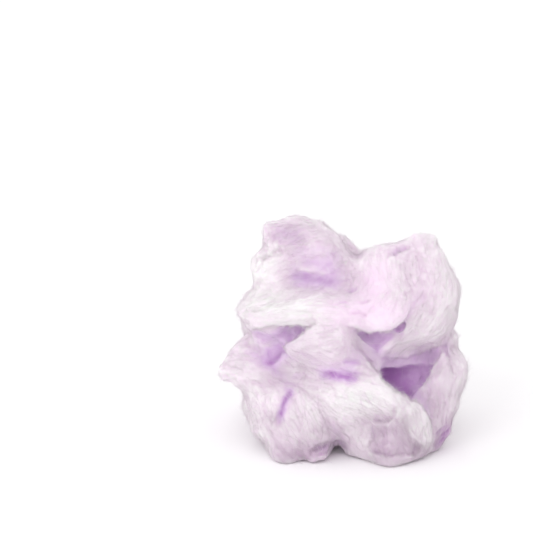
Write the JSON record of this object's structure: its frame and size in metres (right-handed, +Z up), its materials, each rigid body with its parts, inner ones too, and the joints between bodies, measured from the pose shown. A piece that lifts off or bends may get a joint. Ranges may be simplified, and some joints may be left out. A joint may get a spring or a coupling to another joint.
{
  "type": "cotton candy",
  "caption": "Loose tuft of lilac spun sugar: one soft, folded, lobed piece with two deep hollows that stands on its lower lobes.",
  "frame": {"origin": "under the middle of the tuft's box, on the surface that it stands on", "axes": "+Z up, +X along the widest side, to the right as the shown side is looked at, +Y away from that side"},
  "size_m": [0.115, 0.088, 0.104],
  "materials": {
    "floss": "matt, fluffy spun sugar, near white on the crests and purple in the folds"
  },
  "bodies": {
    "root": {"cotton_candy": "floss"}
  },
  "joints": []
}
